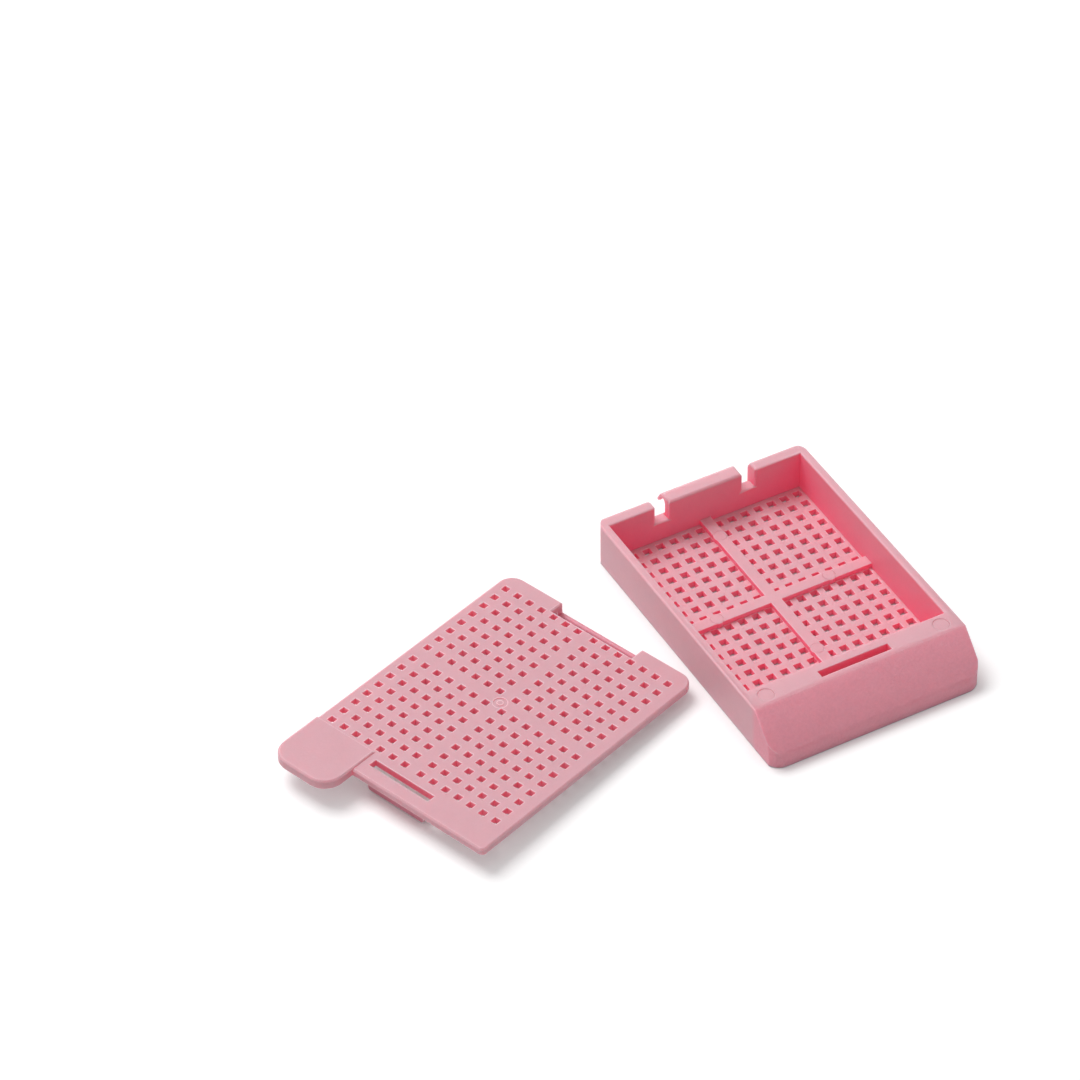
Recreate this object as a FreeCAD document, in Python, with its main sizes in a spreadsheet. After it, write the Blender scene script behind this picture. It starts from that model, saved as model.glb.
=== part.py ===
import FreeCAD, Part
import math
import os
import Sketcher

# Tissue cassette: an open-topped base with a drilled floor, and its clip-on lid
# lying beside it. Each is one moulding. Millimetres, +Z up, origin at the
# middle of the base's underside.

os.makedirs("parts", exist_ok=True)
doc = FreeCAD.newDocument("tissue_cassette")
sheet = doc.addObject("Spreadsheet::Sheet", "sizes")

SIZES = {
    # base, measured from the middle of its hole grid
    "body_width": 28.5,
    "body_height": 6.3,
    "rear_reach": 17.7,
    "front_reach": 23.6,
    "floor_thick": 0.85,
    "side_wall": 1.08,
    "side_draft": 0.2,
    "cavity_rear": 15.88,
    "cavity_front": 16.28,
    "ledge_front": 19.27,
    "corner_round": 2.0,
    "front_round": 1.2,
    "rear_round": 0.8,
    "rim_round": 0.25,
    # ribs that quarter the floor, and the ejector pads standing on them
    "rib_width": 1.46,
    "rib_height": 0.7,
    "pad_round": 1.7,
    "side_pad_place": 7.7,
    "rear_pad_place": 12.27,
    "front_pad_place": 10.0,
    # square holes of the base
    "hole_side": 1.0,
    "hole_bottom": 0.84,
    "hole_pitch_x": 1.84,
    "hole_pitch_y": 1.932,
    "hole_start_x": 1.265,
    "hole_start_y": 1.291,
    # hollow below the writing face, open from beneath
    "strip_thick": 1.1,
    "web_thick": 0.6,
    "hollow_front": 22.5,
    "hollow_crown": 18.8,
    "hollow_shoulder": 1.5,
    # latch slot and ejector marks in the ledge
    "slot_width": 9.38,
    "slot_rear": 17.47,
    "slot_front": 18.48,
    "mark_place_x": 11.77,
    "mark_place_y": 17.84,
    "mark_round": 2.0,
    "mark_deep": 0.06,
    # hinge region of the rear wall
    "notch_half": 6.9,
    "notch_deep": 2.75,
    "hinge_recess": 0.4,
    "tab_width": 10.1,
    "tab_rise": 0.1,
    "tab_rear": 16.94,
    "tab_flare": 0.35,
    "hook_top_end": 17.5,
    "hook_back": 18.08,
    "hook_back_drop": 0.28,
    "hook_side": 18.55,
    "hook_side_drop": 1.05,
    "hook_tip": 18.78,
    "hook_tip_drop": 1.5,
    "hook_end": 18.62,
    "hook_end_drop": 1.66,
    "hook_mouth": 18.36,
    "hook_mouth_drop": 1.56,
    # hinge pin and its clearance in the hook
    "pin_place": 17.42,
    "pin_drop": 0.95,
    "pin_across": 0.76,
    "pin_clear": 0.1,
    # lid, measured from the middle of its outline
    "lid_width": 28.5,
    "lid_thick": 0.95,
    "lid_rear": 17.65,
    "lid_front": 19.55,
    "lid_corner": 2.0,
    "lid_front_corner": 0.6,
    "lid_edge": 0.2,
    "cutout_half": 6.13,
    "cutout_edge": 15.7,
    "arm_thick": 0.62,
    "arm_front": 16.75,
    "lid_hole": 0.86,
    "lid_hole_bottom": 0.72,
    "lid_pitch_x": 1.87,
    "lid_pitch_y": 1.963,
    "lid_start_x": 1.21,
    "lid_start_y": 1.26,
    "lid_grid_shift": 0.27,
    "gate_place_x": 0.19,
    "gate_place_y": 0.22,
    "gate_round": 1.7,
    "gate_core": 0.85,
    "gate_deep": 0.1,
    # latch tongue below the front of the lid
    "latch_width": 8.5,
    "latch_front": 18.25,
    "latch_rear": 17.72,
    "latch_drop": 2.6,
    "latch_nose": 18.05,
    "latch_nose_drop": 2.3,
    "latch_heel": 17.78,
    "barb_tip": 17.1,
    "barb_drop": 1.2,
    "barb_thick": 0.3,
    "latch_corner": 0.8,
    "lid_slot_width": 8.9,
    "lid_slot_rear": 16.65,
    # finger pad at the front left of the lid
    "finger_rear": 15.85,
    "finger_front": 23.9,
    "finger_inner": 5.35,
    "finger_step": 0.28,
    "finger_corner": 2.5,
    # where the lid lies beside the base
    "lid_place_x": -36.9,
    "lid_place_y": 1.8,
    "lid_turn": -69.7,
}

for row, (name, value) in enumerate(SIZES.items(), start=1):
    sheet.set(f"A{row}", name)
    sheet.set(f"B{row}", str(value))
    sheet.setAlias(f"B{row}", name)
doc.recompute()

ACROSS = 7
ALONG = 8
MOST_TAKEN_OFF = 30.0


def bound(sum_text):
    """The sum written with the sheet's cells, as an expression."""
    words = [f"sizes.{w}" if w[0].isalpha() else w for w in sum_text.split()]
    return " ".join(words)


def total(sum_text):
    """The value of a sum such as "- slot_front + web_thick"."""
    value, sign = 0.0, 1.0
    for word in sum_text.split():
        if word in "+-":
            sign = 1.0 if word == "+" else -1.0
            continue
        name, _, share = word.partition("/")
        amount = SIZES[name] if name[0].isalpha() else float(name)
        value += sign * amount / float(share or 1)
        sign = 1.0
    return value


def new_body(label):
    body = doc.addObject("PartDesign::Body", label)
    body.Label = label
    doc.recompute()
    return body


def new_sketch(body, role, name, lift=None):
    """An empty sketch on one of the body's origin planes, lifted along its normal."""
    planes = [f for f in body.Origin.OriginFeatures if f.Role == role]
    sketch = body.newObject("Sketcher::SketchObject", name)
    sketch.AttachmentSupport = (planes[0], [""])
    sketch.MapMode = "FlatFace"
    if lift:
        sketch.setExpression(".AttachmentOffset.Base.z", bound(lift))
    return sketch


def hold(sketch, kind, geometry, end, sum_text):
    """Hold one coordinate of a point at a sum of the sheet's cells."""
    index = sketch.addConstraint(
        Sketcher.Constraint(kind, -1, 1, geometry, end, total(sum_text))
    )
    sketch.setExpression(f"Constraints[{index}]", bound(sum_text))


def pin_down(sketch, geometry, end, place):
    """Hold a point of the sketch at two sums of the sheet's cells."""
    for kind, axis, sum_text in zip(("DistanceX", "DistanceY"), (-2, -1), place):
        if sum_text == "0":
            sketch.addConstraint(
                Sketcher.Constraint("PointOnObject", geometry, end, axis)
            )
            continue
        hold(sketch, kind, geometry, end, sum_text)


def add_outline(sketch, places):
    """A closed outline of straight lines through the places."""
    points = [FreeCAD.Vector(total(x), total(y), 0) for x, y in places]
    first = sketch.GeometryCount
    for start, end in zip(points, points[1:] + points[:1]):
        sketch.addGeometry(Part.LineSegment(start, end), False)
    for step in range(len(points)):
        here = first + step
        after = first + (step + 1) % len(points)
        sketch.addConstraint(Sketcher.Constraint("Coincident", here, 2, after, 1))
    for step, place in enumerate(places):
        pin_down(sketch, first + step, 1, place)


def add_box(sketch, left, right, low, high):
    add_outline(sketch, [(left, low), (right, low), (right, high), (left, high)])


def add_circle(sketch, place, across):
    """A circle whose diameter is one cell."""
    centre = FreeCAD.Vector(total(place[0]), total(place[1]), 0)
    ring = sketch.addGeometry(
        Part.Circle(centre, FreeCAD.Vector(0, 0, 1), SIZES[across] / 2), False
    )
    pin_down(sketch, ring, 3, place)
    index = sketch.addConstraint(Sketcher.Constraint("Diameter", ring, SIZES[across]))
    sketch.setExpression(f"Constraints[{index}]", bound(across))


def grow(body, kind, sketch, name, length, symmetric=False, reverse=False):
    """A pad or pocket of the sketch, proved by the change in volume."""
    before = body.Shape.Volume if body.Tip else 0.0
    feature = body.newObject(f"PartDesign::{kind}", name)
    feature.Profile = sketch
    feature.Type = "Length"
    feature.SideType = "Symmetric" if symmetric else "One side"
    feature.Reversed = reverse
    feature.setExpression("Length", bound(length))
    doc.recompute()
    change = body.Shape.Volume - before
    if (change > 0) != (kind == "Pad") or abs(change) < 1e-6:
        raise RuntimeError(f"{name} changed the volume by {change:.4f}")
    return feature


def edges_where(shape, test):
    """Names of the shape's edges that pass the test on their two end points."""
    names = []
    for number, edge in enumerate(shape.Edges, start=1):
        if len(edge.Vertexes) == 2:
            a, b = (v.Point for v in edge.Vertexes)
            if test(a, b):
                names.append(f"Edge{number}")
    return names


def dress_edges(body, kind, name, size, test):
    """A fillet or chamfer of the edges that pass, proved by what it takes off."""
    base = body.Tip
    names = edges_where(base.Shape, test)
    if not names:
        raise RuntimeError(f"{name} found no edge")
    dressing = body.newObject(f"PartDesign::{kind}", name)
    dressing.Base = (base, names)
    dressing.setExpression("Radius" if kind == "Fillet" else "Size", bound(size))
    base.Visibility = False
    doc.recompute()
    removed = base.Shape.Volume - dressing.Shape.Volume
    if not dressing.Shape.isValid() or not 0 < removed < MOST_TAKEN_OFF:
        raise RuntimeError(f"{name} gave no sound shape")
    return dressing


def round_edges(body, name, radius, test):
    return dress_edges(body, "Fillet", name, radius, test)


def near(value, goal):
    return abs(value - goal) < 0.001


def both_at(**goals):
    """True for an edge whose two ends share the given coordinates."""
    return lambda a, b: all(
        near(getattr(p, axis), goal) for p in (a, b) for axis, goal in goals.items()
    )


def either(*tests):
    return lambda a, b: any(test(a, b) for test in tests)


def drill_panel(body, name, mouth, bottom, start, pitch, depth, shift=None):
    """One tapered square hole, repeated over a panel with a wider gap in each middle."""
    marks = {f.Role: f for f in body.Origin.OriginFeatures}
    hole = body.newObject("PartDesign::SubtractiveWedge", name)
    hole.AttachmentSupport = (marks["XZ_Plane"], [""])
    hole.MapMode = "FlatFace"
    moved = f" - {shift}" if shift else ""
    sides = {
        "Xmin": f"{start[0]} - {bottom}/2{moved}",
        "Xmax": f"{start[0]} + {bottom}/2{moved}",
        "Zmin": f"- {start[1]} - {bottom}/2",
        "Zmax": f"- {start[1]} + {bottom}/2",
        "X2min": f"{start[0]} - {mouth}/2{moved}",
        "X2max": f"{start[0]} + {mouth}/2{moved}",
        "Z2min": f"- {start[1]} - {mouth}/2",
        "Z2max": f"- {start[1]} + {mouth}/2",
        "Ymax": depth,
    }
    hole.Ymin = 0
    for side, sum_text in sides.items():
        setattr(hole, side, total(sum_text))
        hole.setExpression(side, bound(sum_text))
    doc.recompute()
    grid = body.newObject("PartDesign::MultiTransform", f"{name}_grid")
    grid.Originals = [hole]
    steps = []
    for axis, count, step, begin in zip(
        ("X_Axis", "Y_Axis"), (ACROSS, ALONG), pitch, start
    ):
        row = doc.addObject("PartDesign::LinearPattern", f"{name}_{axis}_row")
        row.Direction = (marks[axis], [""])
        row.Mode = "Spacing"
        row.Occurrences = count
        row.setExpression("Offset", bound(step))
        half = doc.addObject("PartDesign::LinearPattern", f"{name}_{axis}_half")
        half.Direction = (marks[axis], [""])
        half.Mode = "Spacing"
        half.Occurrences = 2
        half.Reversed = True
        half.setExpression("Offset", f"2 * sizes.{begin} + {count - 1} * sizes.{step}")
        steps += [row, half]
    grid.Transformations = steps
    body.Tip = grid
    doc.recompute()
    return grid


def add_hook(sketch):
    """Side outline of the tab: up the wall, over, and round the hinge pin."""
    deep = "body_height - notch_deep"
    top = "body_height + tab_rise"
    curl = "pin_across/2 + pin_clear"
    middle = "body_height - pin_drop"
    points = [
        ("tab_rear", middle),
        ("tab_rear", f"{deep} + tab_flare"),
        ("tab_rear + tab_flare", deep),
        ("cavity_rear", deep),
        ("cavity_rear", top),
        ("hook_top_end", top),
        ("hook_back", "body_height - hook_back_drop"),
        ("hook_side", "body_height - hook_side_drop"),
        ("hook_tip", "body_height - hook_tip_drop"),
        ("hook_end", "body_height - hook_end_drop"),
        ("hook_mouth", "body_height - hook_mouth_drop"),
        ("pin_place + pin_across/2 + pin_clear", middle),
    ]
    places = [FreeCAD.Vector(total(y), total(z), 0) for y, z in points]
    for start, end in zip(places, places[1:]):
        sketch.addGeometry(Part.LineSegment(start, end), False)
    crown = FreeCAD.Vector(total("pin_place"), total(middle) + total(curl), 0)
    arc = sketch.addGeometry(Part.Arc(places[0], crown, places[-1]), False)
    for number in range(len(places) - 2):
        sketch.addConstraint(
            Sketcher.Constraint("Coincident", number, 2, number + 1, 1)
        )
    for number, point in enumerate(points[:-1]):
        pin_down(sketch, number, 1, point)
    pin_down(sketch, len(points) - 2, 2, points[-1])
    sketch.addConstraint(Sketcher.Constraint("Coincident", arc, 2, 0, 1))
    sketch.addConstraint(
        Sketcher.Constraint("Coincident", arc, 1, len(points) - 2, 2)
    )
    hold(sketch, "DistanceY", arc, 3, middle)


def add_corner(sketch, corner, centre, side, end):
    """The sliver between a square corner and the arc that replaces it."""
    middle = FreeCAD.Vector(total(centre[0]), total(centre[1]), 0)
    tip = FreeCAD.Vector(total(corner[0]), total(corner[1]), 0)
    beside = FreeCAD.Vector(tip.x, middle.y, 0)
    along = FreeCAD.Vector(middle.x, tip.y, 0)
    sketch.addGeometry(Part.LineSegment(beside, tip), False)
    sketch.addGeometry(Part.LineSegment(tip, along), False)
    ring = Part.Circle(middle, FreeCAD.Vector(0, 0, 1), abs(tip.x - middle.x))
    quarter = {(1, 1): 0, (-1, 1): 1, (-1, -1): 2, (1, -1): 3}[(side, end)]
    arc = sketch.addGeometry(
        Part.ArcOfCircle(ring, quarter * math.pi / 2, (quarter + 1) * math.pi / 2), False
    )
    starts_beside = quarter % 2 == 0
    sketch.addConstraint(Sketcher.Constraint("Coincident", 0, 2, 1, 1))
    sketch.addConstraint(
        Sketcher.Constraint("Coincident", arc, 1 if starts_beside else 2, 0, 1)
    )
    sketch.addConstraint(
        Sketcher.Constraint("Coincident", arc, 2 if starts_beside else 1, 1, 2)
    )
    pin_down(sketch, 0, 1, (corner[0], centre[1]))
    pin_down(sketch, 0, 2, corner)
    pin_down(sketch, 1, 2, (centre[0], corner[1]))
    hold(sketch, "DistanceX", arc, 3, centre[0])


# ---------------------------------------------------------------- base
base = new_body("base")

side = new_sketch(base, "YZ_Plane", "side_outline")
add_outline(
    side,
    [
        ("- front_reach", "0"),
        ("rear_reach", "0"),
        ("rear_reach", "body_height"),
        ("- ledge_front", "body_height"),
        ("- front_reach", "body_height - front_reach + ledge_front"),
    ],
)
grow(base, "Pad", side, "block", "body_width", symmetric=True)

FRONT_FACE_TOP = total("body_height - front_reach + ledge_front")
round_edges(
    base,
    "front_bend",
    "front_round",
    both_at(y=total("- front_reach"), z=FRONT_FACE_TOP),
)
round_edges(
    base,
    "rear_top",
    "rear_round",
    both_at(y=total("rear_reach"), z=total("body_height")),
)
round_edges(
    base,
    "shoulders",
    "rim_round",
    lambda a, b: near(a.x, b.x) and a.z + b.z > 2 * FRONT_FACE_TOP
    and not near(a.y, b.y) and min(a.z, b.z) > 2,
)

# upright corners, and sides that lean in a little towards the underside
for sign, inward, side in (("", "-", 1), ("- ", "+", -1)):
    word = "right" if side > 0 else "left"
    for reach, back, end in (
        ("rear_reach", "rear_reach - corner_round", 1),
        ("- front_reach", "- front_reach + corner_round", -1),
    ):
        corner = new_sketch(base, "XY_Plane", f"{word}_corner_plan", "body_height")
        add_corner(
            corner,
            (f"{sign}body_width/2", reach),
            (f"{sign}body_width/2 {inward} corner_round", back),
            side,
            end,
        )
        grow(base, "Pocket", corner, f"{word}_corner", "body_height")
    lean = new_sketch(base, "XZ_Plane", f"{word}_lean", "front_reach")
    add_outline(
        lean,
        [
            (f"{sign}body_width/2", "0"),
            (f"{sign}body_width/2", "body_height"),
            (f"{sign}body_width/2 {inward} side_draft", "0"),
        ],
    )
    grow(base, "Pocket", lean, f"{word}_draft", "front_reach + rear_reach")

# the tissue space, down to the floor
mouth = new_sketch(base, "XY_Plane", "cavity_mouth", "body_height")
add_box(
    mouth,
    "- body_width/2 + side_wall",
    "body_width/2 - side_wall",
    "- cavity_front",
    "cavity_rear",
)
grow(base, "Pocket", mouth, "cavity", "body_height - floor_thick")


def on_inner_rim(a, b):
    half = SIZES["body_width"] / 2 - SIZES["side_wall"] + 0.01
    low, high = -SIZES["cavity_front"] - 0.01, SIZES["cavity_rear"] + 0.01
    inside = all(abs(p.x) < half and low < p.y < high for p in (a, b))
    return inside and near(a.z, SIZES["body_height"]) and near(a.z, b.z)


round_edges(base, "inner_rim", "rim_round", on_inner_rim)

# hollow under the ledge and the writing face
under = new_sketch(base, "YZ_Plane", "hollow_outline")
add_outline(
    under,
    [
        ("- hollow_front", "0"),
        ("- cavity_front - web_thick", "0"),
        ("- cavity_front - web_thick", "body_height - strip_thick"),
        ("- hollow_crown", "body_height - strip_thick"),
        ("- hollow_front", "hollow_shoulder"),
    ],
)
grow(
    base, "Pocket", under, "hollow", "body_width - 2 * side_wall", symmetric=True
)

slot = new_sketch(base, "XY_Plane", "slot_mouth", "body_height")
add_box(slot, "- slot_width/2", "slot_width/2", "- slot_front", "- slot_rear")
grow(base, "Pocket", slot, "latch_slot", "2 * strip_thick")

marks = new_sketch(base, "XY_Plane", "ledge_marks", "body_height")
for side_x in ("- mark_place_x", "mark_place_x"):
    add_circle(marks, (side_x, "- mark_place_y"), "mark_round")
grow(base, "Pocket", marks, "ejector_marks", "mark_deep")

# ribs that quarter the floor, with a round pad under each ejector
long_rib = new_sketch(base, "XY_Plane", "long_rib_plan", "floor_thick")
add_box(long_rib, "- rib_width/2", "rib_width/2", "- cavity_front", "cavity_rear")
grow(base, "Pad", long_rib, "long_rib", "rib_height")
cross_rib = new_sketch(base, "XY_Plane", "cross_rib_plan", "floor_thick")
add_box(
    cross_rib,
    "- body_width/2 + side_wall",
    "body_width/2 - side_wall",
    "- rib_width/2",
    "rib_width/2",
)
grow(base, "Pad", cross_rib, "cross_rib", "rib_height")
pads = new_sketch(base, "XY_Plane", "pad_plan", "floor_thick")
for place in (
    ("- side_pad_place", "0"),
    ("side_pad_place", "0"),
    ("0", "rear_pad_place"),
    ("0", "- front_pad_place"),
):
    add_circle(pads, place, "pad_round")
grow(base, "Pad", pads, "ejector_pads", "rib_height")

# the rear wall gives way to a hooked tab between two notches
gap = new_sketch(base, "XY_Plane", "gap_plan", "body_height")
add_box(gap, "- notch_half", "notch_half", "cavity_rear", "rear_reach")
grow(base, "Pocket", gap, "hinge_gap", "notch_deep")
recess = new_sketch(base, "XY_Plane", "recess_plan", "body_height - notch_deep")
add_box(
    recess, "- notch_half", "notch_half", "rear_reach - hinge_recess", "rear_reach"
)
grow(base, "Pocket", recess, "hinge_recess", "body_height - notch_deep")

hook = new_sketch(base, "YZ_Plane", "hook_outline")
add_hook(hook)
grow(base, "Pad", hook, "hook", "tab_width", symmetric=True)

drill_panel(
    base,
    "drain",
    "hole_side",
    "hole_bottom",
    ("hole_start_x", "hole_start_y"),
    ("hole_pitch_x", "hole_pitch_y"),
    "floor_thick",
)
print("base", base.Shape.isValid(), round(base.Shape.Volume, 3), len(base.Shape.Faces))

base.setExpression(".Placement.Base.y", "(sizes.front_reach - sizes.rear_reach) / 2")

# ---------------------------------------------------------------- lid
lid = new_body("lid")

plan = new_sketch(lid, "XY_Plane", "plate_plan")
add_outline(
    plan,
    [
        ("- lid_width/2", "- lid_front"),
        ("lid_width/2", "- lid_front"),
        ("lid_width/2", "lid_rear"),
        ("cutout_half", "lid_rear"),
        ("cutout_half", "cutout_edge"),
        ("- cutout_half", "cutout_edge"),
        ("- cutout_half", "lid_rear"),
        ("- lid_width/2", "lid_rear"),
    ],
)
grow(lid, "Pad", plan, "plate", "lid_thick")
finger = new_sketch(lid, "XY_Plane", "finger_plan")
add_box(
    finger, "- lid_width/2", "- finger_inner", "- finger_front", "- finger_rear"
)
grow(lid, "Pad", finger, "finger_pad", "lid_thick + finger_step")

round_edges(
    lid,
    "rear_corners",
    "lid_corner",
    either(
        both_at(x=total("lid_width/2"), y=total("lid_rear")),
        both_at(x=total("- lid_width/2"), y=total("lid_rear")),
    ),
)
round_edges(
    lid,
    "finger_corners",
    "finger_corner",
    either(
        both_at(x=total("- lid_width/2"), y=total("- finger_front")),
        both_at(x=total("- finger_inner"), y=total("- finger_front")),
    ),
)
round_edges(
    lid,
    "front_corner",
    "lid_front_corner",
    both_at(x=total("lid_width/2"), y=total("- lid_front")),
)

PAD_TOP = total("lid_thick + finger_step")
dress_edges(
    lid,
    "Chamfer",
    "lid_rim",
    "lid_edge",
    either(
        both_at(z=PAD_TOP),
        lambda a, b: near(a.z, SIZES["lid_thick"]) and near(a.z, b.z)
        and not near(a.y, -SIZES["finger_rear"]) and not near(b.y, -SIZES["finger_rear"])
        and not near(a.x, -SIZES["finger_inner"]),
    ),
)

lid_slot = new_sketch(lid, "XY_Plane", "lid_slot_plan", "lid_thick")
add_box(
    lid_slot,
    "- lid_slot_width/2",
    "lid_slot_width/2",
    "- latch_rear",
    "- lid_slot_rear",
)
grow(lid, "Pocket", lid_slot, "lid_slot", "lid_thick")

gate = new_sketch(lid, "XY_Plane", "gate_plan", "lid_thick")
for across in ("gate_round", "gate_core"):
    add_circle(gate, ("- gate_place_x", "- gate_place_y"), across)
grow(lid, "Pocket", gate, "gate_ring", "gate_deep")

# latch tongue, its barb turned back under the slot
tongue = new_sketch(lid, "YZ_Plane", "tongue_outline")
add_outline(
    tongue,
    [
        ("- latch_front", "0"),
        ("- latch_front", "- latch_nose_drop"),
        ("- latch_nose", "- latch_drop"),
        ("- latch_heel", "- latch_drop"),
        ("- barb_tip", "- barb_drop - barb_thick"),
        ("- barb_tip", "- barb_drop"),
        ("- latch_rear", "- barb_drop"),
        ("- latch_rear", "0"),
    ],
)
grow(lid, "Pad", tongue, "tongue", "latch_width", symmetric=True)
for sign, inward, word, side in (("", "-", "right", 1), ("- ", "+", "left", -1)):
    trim = new_sketch(lid, "XZ_Plane", f"{word}_trim_plan", "latch_front")
    add_corner(
        trim,
        (f"{sign}latch_width/2", "- latch_drop"),
        (f"{sign}latch_width/2 {inward} latch_corner", "- latch_drop + latch_corner"),
        side,
        -1,
    )
    grow(lid, "Pocket", trim, f"{word}_trim", "latch_front - barb_tip")

# hinge arms below the ears, and the pin between them
for start, word in (("cutout_half", "right"), ("- cutout_half - arm_thick", "left")):
    arm = new_sketch(lid, "YZ_Plane", f"{word}_arm_outline", start)
    add_outline(
        arm,
        [
            ("arm_front", "0"),
            ("arm_front", "- pin_drop - pin_across/2"),
            ("pin_place + pin_across/2", "- pin_drop - pin_across/2"),
            ("lid_rear", "0"),
        ],
    )
    grow(lid, "Pad", arm, f"{word}_arm", "arm_thick")
pin = new_sketch(lid, "YZ_Plane", "pin_outline")
add_circle(pin, ("pin_place", "- pin_drop"), "pin_across")
grow(lid, "Pad", pin, "pin", "2 * cutout_half + 2 * arm_thick", symmetric=True)

drill_panel(
    lid,
    "vent",
    "lid_hole",
    "lid_hole_bottom",
    ("lid_start_x", "lid_start_y"),
    ("lid_pitch_x", "lid_pitch_y"),
    "lid_thick",
    "lid_grid_shift",
)

# the lid lies on the tip of its tongue and the heels of its arms
heel = "(sizes.pin_drop + sizes.pin_across / 2)"
heel_place = "(sizes.pin_place + sizes.pin_across / 2)"
tilt = f"atan((sizes.latch_drop - {heel}) / ({heel_place} + sizes.latch_heel))"
lid.setExpression(
    "Placement",
    f"placement(vector(sizes.lid_place_x; sizes.lid_place_y;"
    f" {heel_place} * sin({tilt}) + {heel} * cos({tilt}));"
    f" rotation(sizes.lid_turn; 0; -{tilt}))",
)
doc.recompute()
print("lid", lid.Shape.isValid(), round(lid.Shape.Volume, 3), len(lid.Shape.Faces))

for thing in doc.Objects:
    for trouble in ("Invalid", "Error"):
        if trouble in thing.State:
            raise RuntimeError(f"{thing.Label}: {trouble}")
for piece in (base, lid):
    if piece.Shape.isNull() or not piece.Shape.isValid():
        raise RuntimeError(f"{piece.Label} has no sound shape")
    piece.Shape.exportStep(f"parts/{piece.Label}.step")
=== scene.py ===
import math

import bmesh
import bpy
from mathutils import Matrix, Vector


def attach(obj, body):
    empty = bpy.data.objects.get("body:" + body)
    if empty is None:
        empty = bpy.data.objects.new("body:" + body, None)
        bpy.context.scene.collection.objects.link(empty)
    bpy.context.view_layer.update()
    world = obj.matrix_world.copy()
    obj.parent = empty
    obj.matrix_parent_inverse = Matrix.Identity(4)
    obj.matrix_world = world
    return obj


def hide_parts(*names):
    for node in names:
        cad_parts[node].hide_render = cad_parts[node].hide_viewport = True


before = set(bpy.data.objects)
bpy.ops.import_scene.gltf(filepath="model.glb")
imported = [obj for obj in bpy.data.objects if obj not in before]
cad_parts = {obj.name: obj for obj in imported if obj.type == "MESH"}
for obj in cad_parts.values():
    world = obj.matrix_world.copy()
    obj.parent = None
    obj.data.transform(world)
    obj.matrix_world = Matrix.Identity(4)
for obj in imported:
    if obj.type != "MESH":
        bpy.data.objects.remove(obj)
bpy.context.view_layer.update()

scene = bpy.context.scene

# lengths are in metres
seamGap = 2e-6  # corners nearer than this are one corner
noLength = 1e-7  # edges shorter than this are taken out
sameLength = 1e-5  # two lengths nearer than this count as the same
flatBend = math.radians(1)  # faces that bend less than this are one flat part
outwardBend = math.radians(40)  # only edges that bend more than this are rounded off
sharpBend = math.radians(50)  # edges that bend more than this stay crisp


def joinedCopy(node):
    # the CAD mesh with its seams merged
    bm = bmesh.new()
    bm.from_mesh(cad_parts[node].data)
    bmesh.ops.remove_doubles(bm, verts=bm.verts[:], dist=seamGap)
    bm.normal_update()
    return bm


def roundOff(bm, test, size, segments=2, shortest=0.0, longest=1.0):
    # rounds the edges that stick out and whose ends both pass the test
    edges = [
        e for e in bm.edges
        if e.is_manifold and e.is_convex
        and e.calc_face_angle(0) > outwardBend
        and all(test(v.co) for v in e.verts)
        and shortest <= e.calc_length() <= longest
    ]
    bmesh.ops.bevel(
        bm, geom=edges, offset=size, offset_type="OFFSET", segments=segments,
        profile=0.5, affect="EDGES", material=-1, clamp_overlap=False,
    )
    bm.normal_update()


def gather(first, neighbours):
    # everything reached from the first by stepping to neighbours
    found = {first: True}
    waiting = [first]
    while waiting:
        for other in neighbours(waiting.pop()):
            if other not in found:
                found[other] = True
                waiting.append(other)
    return list(found)


def across(face, edges, below):
    # the faces met over these edges of the face where they bend less than the angle
    return [
        other for e in edges if e.is_manifold and e.calc_face_angle(math.pi) < below
        for other in e.link_faces if other is not face and face in e.link_faces
    ]


def flatAreas(bm):
    # for each face, the area of the whole flat part it belongs to
    areas = {}
    for face in bm.faces:
        if face not in areas:
            part = gather(face, lambda f: across(f, f.edges, flatBend))
            areas.update(dict.fromkeys(part, sum(f.calc_area() for f in part)))
    return areas


def cornerNormals(bm):
    # wide flat parts keep their own direction up to the edge and only the roundings blend
    areas = flatAreas(bm)
    normals = {}
    for vert in bm.verts:
        corners = {loop.face: loop for loop in vert.link_loops}
        while corners:
            fan = gather(next(iter(corners)), lambda f: across(f, vert.link_edges, sharpBend))
            lean = sum((f.normal * areas[f] * corners[f].calc_angle() for f in fan), Vector())
            for face in fan:
                normals[corners.pop(face)] = lean.normalized()
    return [normals[loop] for face in bm.faces for loop in face.loops]


def finishPiece(bm, name, node, material):
    # the mesh takes the place of its CAD node and rides on the body of the same name
    bmesh.ops.dissolve_degenerate(bm, dist=noLength, edges=bm.edges[:])
    bm.normal_update()
    mesh = bpy.data.meshes.new(name)
    normals = cornerNormals(bm)
    bm.to_mesh(mesh)
    bm.free()
    mesh.shade_smooth()
    mesh.set_sharp_from_angle(angle=sharpBend)
    mesh.normals_split_custom_set(normals)
    mesh.materials.append(material)
    piece = bpy.data.objects.new(name, mesh)
    scene.collection.objects.link(piece)
    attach(piece, node)
    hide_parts(node)


def newGroup(name, inputs, outputs):
    group = bpy.data.node_groups.new(name, "ShaderNodeTree")
    for label, kind, value in inputs:
        socket = group.interface.new_socket(label, in_out="INPUT", socket_type=kind)
        socket.default_value = value
    for label, kind in outputs:
        group.interface.new_socket(label, in_out="OUTPUT", socket_type=kind)
    start = group.nodes.new("NodeGroupInput")
    end = group.nodes.new("NodeGroupOutput")
    return group, start.outputs, end.inputs


def addNode(tree, kind, links=None, **settings):
    # a node with its settings, and its inputs joined to sockets or set to values
    node = tree.nodes.new(kind)
    for key, value in settings.items():
        setattr(node, key, value)
    for key, value in (links or {}).items():
        if isinstance(value, bpy.types.NodeSocket):
            tree.links.new(value, node.inputs[key])
        else:
            node.inputs[key].default_value = value
    return node


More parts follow.
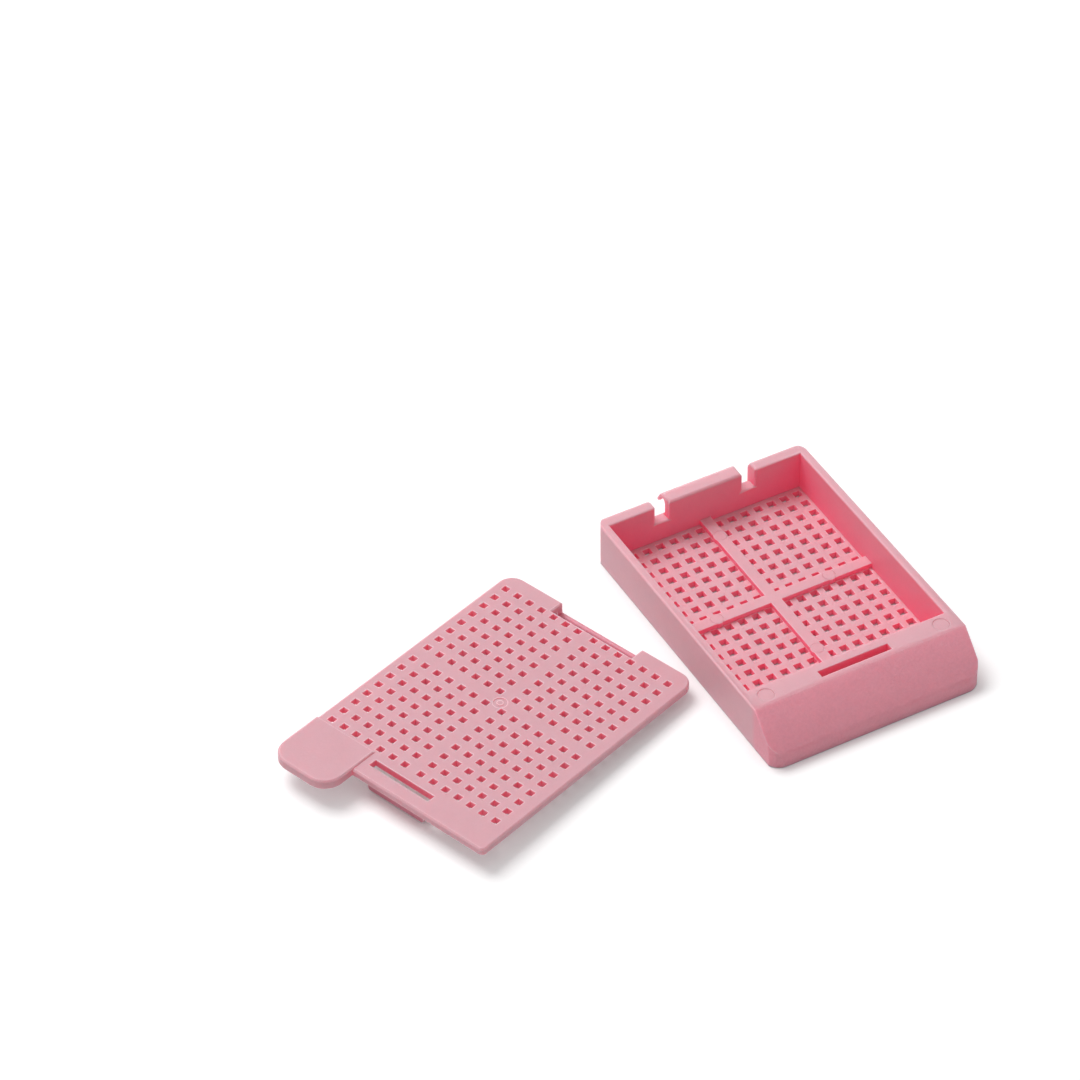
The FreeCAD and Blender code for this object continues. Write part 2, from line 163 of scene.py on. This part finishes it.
def calculate(tree, operation, *values, clamp=False):
    links = dict(enumerate(values))
    node = addNode(tree, "ShaderNodeMath", links, operation=operation, use_clamp=clamp)
    return node.outputs[0]


def mixColors(tree, share, first, second):
    # a colour mix keeps its two colours in inputs 6 and 7 and its result in output 2
    links = {"Factor": share, 6: first, 7: second}
    return addNode(tree, "ShaderNodeMix", links, data_type="RGBA").outputs[2]


def objectPlace(tree):
    return addNode(tree, "ShaderNodeTexCoord").outputs["Object"]


def grainGroup():
    # fine tooth of the mould's surface, as a bumped normal
    group, start, end = newGroup(
        "mould_grain",
        [("Scale", "NodeSocketFloat", 3000.0), ("Depth", "NodeSocketFloat", 0.3),
         ("Mask", "NodeSocketFloat", 1.0)],
        [("Normal", "NodeSocketVector")],
    )
    noise = addNode(
        group, "ShaderNodeTexNoise",
        {"Vector": objectPlace(group), "Scale": start["Scale"], "Detail": 3.0, "Roughness": 0.6},
    )
    depth = calculate(group, "MULTIPLY", start["Depth"], start["Mask"])
    bump = addNode(
        group, "ShaderNodeBump",
        {"Strength": depth, "Distance": 0.0001, "Height": noise.outputs["Fac"]},
    )
    group.links.new(bump.outputs["Normal"], end["Normal"])
    return group


def cloudGroup():
    # slow and fine unevenness of the colour, with a few dark specks
    group, start, end = newGroup(
        "colour_cloud",
        [("Color", "NodeSocketColor", (1, 1, 1, 1)), ("Uneven", "NodeSocketFloat", 0.12),
         ("Mottle", "NodeSocketFloat", 0.05),
         ("Speck Color", "NodeSocketColor", (0.2, 0.1, 0.1, 1)),
         ("Specks", "NodeSocketFloat", 0.02), ("Speck Share", "NodeSocketFloat", 0.06)],
        [("Color", "NodeSocketColor")],
    )
    place = objectPlace(group)
    slow = addNode(
        group, "ShaderNodeTexNoise",
        {"Vector": place, "Scale": 260.0, "Detail": 6.0, "Roughness": 0.75},
    )
    fine = addNode(
        group, "ShaderNodeTexNoise",
        {"Vector": place, "Scale": 3200.0, "Detail": 2.0, "Roughness": 0.6},
    )
    level = 1.0
    for noise, amount in ((slow, "Uneven"), (fine, "Mottle")):
        centred = calculate(group, "SUBTRACT", noise.outputs["Fac"], 0.5)
        level = calculate(group, "MULTIPLY_ADD", centred, start[amount], level)
    toned = addNode(group, "ShaderNodeHueSaturation", {"Value": level, "Color": start["Color"]})
    dots = addNode(group, "ShaderNodeTexVoronoi", {"Vector": place, "Scale": 210.0}, feature="F1")
    pick = addNode(group, "ShaderNodeSeparateColor", {"Color": dots.outputs["Color"]})
    small = calculate(group, "LESS_THAN", dots.outputs["Distance"], start["Specks"])
    rare = calculate(group, "LESS_THAN", pick.outputs["Red"], start["Speck Share"])
    speck = calculate(group, "MULTIPLY", small, rare)
    specked = mixColors(group, speck, toned.outputs["Color"], start["Speck Color"])
    group.links.new(specked, end["Color"])
    return group


def paintedLightGroup():
    # painted shade: the plastic is painted deep red where its own walls close in around it, less so on
    # faces that look up into the light; a painted highlight makes it pale along its thin outward
    # edges, and a painted glow shines where the shade is painted
    group, start, end = newGroup(
        "painted_shade_glow_and_highlight",
        [("Color", "NodeSocketColor", (1, 1, 1, 1)), ("Painted Shade Color", "NodeSocketColor", (1, 0, 0, 1)),
         ("Reach", "NodeSocketFloat", 0.014), ("Open", "NodeSocketFloat", 0.97),
         ("Closed", "NodeSocketFloat", 0.45), ("Facing Up", "NodeSocketFloat", 0.1),
         ("Painted Glow Color", "NodeSocketColor", (1, 0, 0, 1)),
         ("Painted Highlight Color", "NodeSocketColor", (1, 1, 1, 1)),
         ("Edge Reach", "NodeSocketFloat", 0.00012), ("Edge Limit", "NodeSocketFloat", 0.5)],
        [("Color", "NodeSocketColor"), ("Painted Glow Color", "NodeSocketColor")],
    )
    flat = addNode(group, "ShaderNodeNewGeometry").outputs["True Normal"]
    sky = addNode(
        group, "ShaderNodeAmbientOcclusion",
        {"Distance": start["Reach"], "Normal": flat}, samples=8, only_local=True,
    )
    closed = addNode(
        group, "ShaderNodeMapRange",
        {"Value": sky.outputs["AO"], "From Min": start["Open"], "From Max": start["Closed"]},
    )
    heading = addNode(group, "ShaderNodeSeparateXYZ", {"Vector": flat})
    share = addNode(
        group, "ShaderNodeMapRange",
        {"Value": heading.outputs["Z"], "From Max": 0.6, "To Min": 1.0,
         "To Max": start["Facing Up"]},
    )
    # share of painted shade: closed-in places, less on faces that look up into the light
    deep = calculate(group, "MULTIPLY", closed.outputs["Result"], share.outputs["Result"])
    body = mixColors(group, deep, start["Color"], start["Painted Shade Color"])
    solid = addNode(
        group, "ShaderNodeAmbientOcclusion",
        {"Distance": start["Edge Reach"], "Normal": flat}, samples=4, inside=True, only_local=True,
    )
    thin = addNode(
        group, "ShaderNodeMapRange",
        {"Value": solid.outputs["AO"], "From Min": 1.0, "From Max": start["Edge Limit"]},
    )
    # painted highlight along the thin outward edges
    highlighted = mixColors(group, thin.outputs["Result"], body, start["Painted Highlight Color"])
    # painted glow, strongest where the shade is painted
    paintedGlow = mixColors(group, deep, (0, 0, 0, 1), start["Painted Glow Color"])
    group.links.new(highlighted, end["Color"])
    group.links.new(paintedGlow, end["Painted Glow Color"])
    return group


def ringGroup():
    # a thin circle left by an ejector pin, as a mask in the plan view
    group, start, end = newGroup(
        "ejector_ring",
        [("Centre", "NodeSocketVector", (0, 0, 0)), ("Radius", "NodeSocketFloat", 0.0008),
         ("Line", "NodeSocketFloat", 0.00005)],
        [("Mask", "NodeSocketFloat")],
    )
    plan = addNode(
        group, "ShaderNodeVectorMath", {0: objectPlace(group), 1: (1, 1, 0)}, operation="MULTIPLY"
    )
    away = addNode(
        group, "ShaderNodeVectorMath", {0: plan.outputs[0], 1: start["Centre"]}, operation="DISTANCE"
    )
    off = calculate(group, "SUBTRACT", away.outputs["Value"], start["Radius"])
    mask = addNode(
        group, "ShaderNodeMapRange",
        {"Value": calculate(group, "ABSOLUTE", off), "From Max": start["Line"],
         "To Min": 1.0, "To Max": 0.0},
        interpolation_type="SMOOTHSTEP",
    )
    group.links.new(mask.outputs["Result"], end["Mask"])
    return group


grain = grainGroup()
cloud = cloudGroup()
paintedLight = paintedLightGroup()
ring = ringGroup()
print("shared effects done")


# what both mouldings share
plastic = {
    "paintedGlowColor": (1.0, 0.1, 0.19, 1),  # painted glow, standing in for light that the walls pass on to each other
    "paintedGlowStrength": 0.12,
    "speckColor": (0.3, 0.1, 0.12, 1),
    "roughness": 0.5,
    "scatterRadius": (1.0, 0.5, 0.55),
    "scatterScale": 0.0009,  # how deep light goes into the plastic
}


def pinkPlastic(name, look):
    material = bpy.data.materials.new(name)
    material.use_nodes = True
    tree = material.node_tree
    # painted shade, painted edge highlight and painted glow, from the ambient occlusion of the piece's
    # own walls
    light_painted = addNode(
        tree, "ShaderNodeGroup",
        {"Painted Shade Color": look["paintedShadeColor"], "Closed": look["closed"],
         "Painted Glow Color": plastic["paintedGlowColor"], "Painted Highlight Color": look["paintedHighlightColor"],
         "Edge Reach": look["edgeReach"], "Edge Limit": look["edgeLimit"]},
        name="light_painted", node_tree=paintedLight,
    )
    clouded = addNode(
        tree, "ShaderNodeGroup",
        {"Color": light_painted.outputs["Color"], "Speck Color": plastic["speckColor"]},
        name="clouded", node_tree=cloud,
    )
    toothed = addNode(
        tree, "ShaderNodeGroup", {"Depth": look["grain"]}, name="toothed", node_tree=grain
    )
    shader = tree.nodes["Principled BSDF"]
    tree.links.new(clouded.outputs["Color"], shader.inputs["Base Color"])
    tree.links.new(toothed.outputs["Normal"], shader.inputs["Normal"])
    # the painted glow feeds the emission
    tree.links.new(light_painted.outputs["Painted Glow Color"], shader.inputs["Emission Color"])
    shader.inputs["Emission Strength"].default_value = plastic["paintedGlowStrength"]
    shader.inputs["Roughness"].default_value = plastic["roughness"]
    shader.inputs["Subsurface Weight"].default_value = 1.0
    shader.inputs["Subsurface Radius"].default_value = plastic["scatterRadius"]
    shader.inputs["Subsurface Scale"].default_value = plastic["scatterScale"]
    return material


def shadePart(material, look):
    # past a place along one axis the colour goes over to the painted shade colour; gives back that
    # share
    tree = material.node_tree
    axes = addNode(tree, "ShaderNodeSeparateXYZ", {"Vector": objectPlace(tree)})
    share = addNode(
        tree, "ShaderNodeMapRange",
        {"Value": axes.outputs[look["shadedAlong"]], "From Min": look["shadedFrom"],
         "From Max": look["shadedTo"]},
    ).outputs["Result"]
    tone = mixColors(tree, share, look["color"], look["shadedColor"])
    tree.links.new(tone, tree.nodes["light_painted"].inputs["Color"])
    return share


def frost(material, share, look):
    # the face that is written on has more grain and mottle
    tree = material.node_tree
    goals = (
        (tree.nodes["toothed"].inputs["Mask"], look["frostGrain"]),
        (tree.nodes["clouded"].inputs["Mottle"], look["frostMottle"]),
    )
    for goal, (least, most) in goals:
        reached = addNode(
            tree, "ShaderNodeMapRange", {"Value": share, "To Min": least, "To Max": most}
        )
        tree.links.new(reached.outputs["Result"], goal)


def markRings(material, look):
    # circles of the ejector pins on top of the ribs and on the ledge
    tree = material.node_tree
    rings = [(place, look["ribRadius"]) for place in look["ribRings"]]
    rings += [(place, look["ledgeRadius"]) for place in look["ledgeRings"]]
    height = 0.0
    for (x, y), radius in rings:
        one = addNode(
            tree, "ShaderNodeGroup",
            {"Centre": (x, y, 0), "Radius": radius, "Line": look["ringLine"]}, node_tree=ring,
        )
        height = calculate(tree, "MAXIMUM", height, one.outputs["Mask"])
    groove = addNode(
        tree, "ShaderNodeBump",
        {"Strength": 1.0, "Distance": look["ringDeep"], "Height": height,
         "Normal": tree.nodes["toothed"].outputs["Normal"]},
        invert=True,
    )
    tree.links.new(groove.outputs["Normal"], tree.nodes["Principled BSDF"].inputs["Normal"])


baseLook = {
    "color": (0.75, 0.405, 0.46, 1),
    "paintedShadeColor": (0.84, 0.15, 0.25, 1),
    "closed": 0.33,  # open sky left where the painted shade is deepest
    "paintedHighlightColor": (0.84, 0.56, 0.61, 1),  # painted highlight, the pale line along crisp edges
    "edgeReach": 0.00012,
    "edgeLimit": 0.5,  # the lower, the fainter the line
    "grain": 0.35,
    "shadedColor": (0.82, 0.325, 0.405, 1),  # painted shade on the writing face
    "shadedAlong": "Y",
    "shadedFrom": -0.0158,
    "shadedTo": -0.0166,
    "frostGrain": (0.6, 2.6),  # elsewhere, and on the writing face
    "frostMottle": (0.05, 0.16),
    # middles of the ejector marks, seen from above
    "ribRings": [(-0.0077, 0.00295), (0.0077, 0.00295), (0, 0.01522), (0, -0.00705)],
    "ribRadius": 0.00078,
    "ledgeRings": [(-0.01177, -0.01489), (0.01177, -0.01489)],
    "ledgeRadius": 0.001,
    "ringLine": 0.00007,
    "ringDeep": 0.0001,
    "tabHalf": 0.00505,  # the tab between the notches, from its middle
    "tabTop": 0.0064,
    "tabRound": 0.00035,
    "notchHalf": 0.0069,  # the notches' outer cheeks, from the middle
    "notchFloor": 0.00355,
    "notchRound": 0.0003,
    "rearWall": 0.01883,  # its inner face
    "rimTop": 0.0063,
    "ribTop": 0.00155,
    "ribRound": 0.00008,
    "floorTop": 0.00085,
    "crossRib": 0.00295,  # the middle of the rib that runs from side to side
    "besideRib": 0.0009,  # hole mouths nearer to a rib stay crisp
    "mouthRound": 0.00006,
    "insideHalfWidth": 0.0138,
    "insideHalfLength": 0.0195,
    "shortEdge": 0.0001,  # shorter edges are left as they are
    "longEdge": 0.0003,  # under the floor and round the slot, shorter ones than this
}


def buildBase(look):
    bm = joinedCopy("base")

    def at(value, goal):
        return abs(value - goal) < sameLength

    def onTabTop(p):
        return at(abs(p.x), look["tabHalf"]) and at(p.z, look["tabTop"])

    def onTabEnd(p):
        return at(abs(p.x), look["tabHalf"]) and p.z > look["notchFloor"] + sameLength

    def onCheek(p):
        return at(abs(p.x), look["notchHalf"]) and p.z > look["notchFloor"] - sameLength

    def onSill(p):
        return at(p.z, look["notchFloor"]) and at(p.y, look["rearWall"])

    def onRib(p):
        return at(p.z, look["ribTop"])

    def onMouth(p):
        clear = look["besideRib"]
        return at(p.z, look["floorTop"]) and abs(p.x) > clear and abs(p.y - look["crossRib"]) > clear

    def onUnderMouth(p):
        inside = abs(p.x) < look["insideHalfWidth"] and abs(p.y) < look["insideHalfLength"]
        return inside and at(p.z, 0)

    def onSlotMouth(p):
        return at(p.z, look["rimTop"]) and abs(p.x) < look["tabHalf"] and p.y < 0

    roundOff(bm, onTabTop, look["tabRound"], segments=4)
    roundOff(bm, onCheek, look["notchRound"], segments=3)
    roundOff(bm, onSill, look["notchRound"], segments=3)
    roundOff(bm, onTabEnd, look["ribRound"], shortest=look["shortEdge"])
    roundOff(bm, onRib, look["ribRound"])
    roundOff(bm, onMouth, look["mouthRound"], shortest=look["shortEdge"])
    roundOff(bm, onUnderMouth, look["mouthRound"], shortest=look["longEdge"])
    roundOff(bm, onSlotMouth, look["ribRound"], shortest=look["longEdge"])

    material = pinkPlastic("base_plastic", look)
    frost(material, shadePart(material, look), look)
    markRings(material, look)
    finishPiece(bm, "cassette_base", "base", material)
    print("base done")


buildBase(baseLook)


lidLook = {
    "color": (0.69, 0.375, 0.425, 1),
    # colours of the painted shade in the holes and of the painted edge highlight
    "paintedShadeColor": (0.84, 0.27, 0.35, 1),
    "closed": 0.28,
    "paintedHighlightColor": (0.92, 0.63, 0.68, 1),
    "edgeReach": 0.00016,
    "edgeLimit": 0.65,
    "grain": 0.2,
    "shadedColor": (0.68, 0.26, 0.33, 1),  # painted shade low down, towards the table
    "shadedAlong": "Z",
    "shadedFrom": 0.0019,
    "shadedTo": 0.0014,
    "place": (-0.0369, 0.0018, 0.00196411),  # where the lid lies; its edges are picked in its own axes
    "turn": -69.7,
    "tilt": -2.04426,
    "thick": 0.00095,
    "gridHalf": 0.0136,  # the field of holes
    "gridFront": -0.0163,
    "gridRear": 0.0156,
    "mouthEdge": (0.0006, 0.00095),  # shortest and longest side of a hole
    "mouthRound": 0.00004,
    "armHalf": 0.0070,  # the hinge arms and their roots
    "armFront": 0.015,
    "cutoutHalf": 0.0062,  # the gap between the arms
    "slotHalf": 0.0046,
    "slotFront": -0.0178,
    "slotRear": -0.0165,
    "slotMouth": 0.0001,  # how far down its top edges may lie
    "tongueRear": -0.017,
    "rimEdge": 0.00005,  # shorter edges are left as they are
    "tongueEdge": 0.00012,
    "edgeRound": 0.00007,
}


def buildLid(look):
    bm = joinedCopy("lid")
    place = (
        Matrix.Translation(look["place"])
        @ Matrix.Rotation(math.radians(look["turn"]), 4, "Z")
        @ Matrix.Rotation(math.radians(look["tilt"]), 4, "X")
    )
    back = place.inverted()

    def inGrid(q):
        return abs(q.x) < look["gridHalf"] and look["gridFront"] < q.y < look["gridRear"]

    def inSlot(q):
        return abs(q.x) < look["slotHalf"] and look["slotFront"] < q.y < look["slotRear"]

    def onFace(p):
        q = back @ p
        return inGrid(q) and min(abs(q.z), abs(q.z - look["thick"])) < sameLength

    def onRim(p):
        q = back @ p
        byArms = q.y > look["armFront"] and abs(q.x) < look["armHalf"]
        return q.z > -sameLength and not (inGrid(q) or byArms or inSlot(q))

    def onSlot(p):
        q = back @ p
        return inSlot(q) and q.z > look["thick"] - look["slotMouth"]

    def onCutout(p):
        q = back @ p
        return abs(q.x) < look["cutoutHalf"] and q.y > look["gridRear"] and q.z > look["thick"] / 2

    def onTongue(p):
        q = back @ p
        return q.y < look["tongueRear"] and q.z < -sameLength

    shortest, longest = look["mouthEdge"]
    roundOff(bm, onFace, look["mouthRound"], shortest=shortest, longest=longest)
    roundOff(bm, onRim, look["edgeRound"], shortest=look["rimEdge"])
    roundOff(bm, onSlot, look["edgeRound"])
    roundOff(bm, onCutout, look["mouthRound"])
    roundOff(bm, onTongue, look["edgeRound"], shortest=look["tongueEdge"])

    material = pinkPlastic("lid_plastic", look)
    shadePart(material, look)
    finishPiece(bm, "cassette_lid", "lid", material)
    print("lid done")


buildLid(lidLook)


studio = {
    "tableTop": -0.00005,  # a hair under the pieces, so that no two faces coincide
    "tableHalf": 1.0,
    "tableColor": (0.8, 0.8, 0.8, 1),
    "tableRoughness": 0.8,
    "tableLift": (0.3, 0.3, 0.3, 1),  # added where the table itself is seen
    "contactReach": 0.003,  # the table is not lifted this close to a piece, which paints a darker contact shadow round the pieces
    "skyStrength": 0.4,
    "softboxSize": 0.4,
    "softboxPower": 3.4,  # watts
    "softboxPlace": (-0.16, 0.3, 0.58),
    "lens": 150.22,  # millimetres
    "cameraPlace": (-0.20628, -0.32598, 0.36535),
    "cameraTurn": (0.830104, 0.013250, -0.501680),
}


def seenDirectly(tree):
    # 1 for the camera and for what shines or shows through, 0 for the light on the pieces
    path = addNode(tree, "ShaderNodeLightPath").outputs
    shining = calculate(tree, "ADD", path["Is Camera Ray"], path["Is Glossy Ray"])
    return calculate(tree, "ADD", shining, path["Is Transmission Ray"], clamp=True)


def tablePaper(look):
    paper = bpy.data.materials.new("table_paper")
    paper.use_nodes = True
    tree = paper.node_tree
    shader = tree.nodes["Principled BSDF"]
    shader.inputs["Base Color"].default_value = look["tableColor"]
    shader.inputs["Roughness"].default_value = look["tableRoughness"]
    shader.inputs["Emission Strength"].default_value = 1.0
    # painted contact shadow: the lift fades by ambient occlusion near the pieces
    near = addNode(
        tree, "ShaderNodeAmbientOcclusion", {"Distance": look["contactReach"]}, samples=8
    )
    lift = calculate(tree, "MULTIPLY", seenDirectly(tree), near.outputs["AO"])
    lifted = mixColors(tree, lift, (0, 0, 0, 1), look["tableLift"])
    tree.links.new(lifted, shader.inputs["Emission Color"])
    return paper


def buildTable(look):
    mesh = bpy.data.meshes.new("table")
    bm = bmesh.new()
    top = Matrix.Translation((0, 0, look["tableTop"]))
    bmesh.ops.create_grid(bm, x_segments=1, y_segments=1, size=look["tableHalf"], matrix=top)
    bm.to_mesh(mesh)
    bm.free()
    mesh.materials.append(tablePaper(look))
    table = bpy.data.objects.new("table", mesh)
    scene.collection.objects.link(table)


def lightRoom(look):
    world = bpy.data.worlds.new("studio")
    world.use_nodes = True
    tree = world.node_tree
    sky = tree.nodes["Background"]
    sky.inputs["Color"].default_value = (1, 1, 1, 1)
    brightness = addNode(
        tree, "ShaderNodeMapRange",
        {"Value": seenDirectly(tree), "To Min": look["skyStrength"], "To Max": 1.0},
    )
    tree.links.new(brightness.outputs["Result"], sky.inputs["Strength"])
    scene.world = world

    lamp = bpy.data.lights.new("softbox", "AREA")
    lamp.shape = "RECTANGLE"
    lamp.size = look["softboxSize"]
    lamp.size_y = look["softboxSize"]
    lamp.energy = look["softboxPower"]
    softbox = bpy.data.objects.new("softbox", lamp)
    softbox.location = look["softboxPlace"]
    softbox.rotation_euler = (-softbox.location).to_track_quat("-Z", "Y").to_euler()
    scene.collection.objects.link(softbox)


def placeCamera(look):
    lens = bpy.data.cameras.new("camera")
    lens.lens = look["lens"]
    camera = bpy.data.objects.new("camera", lens)
    camera.location = look["cameraPlace"]
    camera.rotation_euler = look["cameraTurn"]
    scene.collection.objects.link(camera)
    scene.camera = camera


buildTable(studio)
lightRoom(studio)
placeCamera(studio)
scene.view_settings.view_transform = "Standard"
print("studio done")
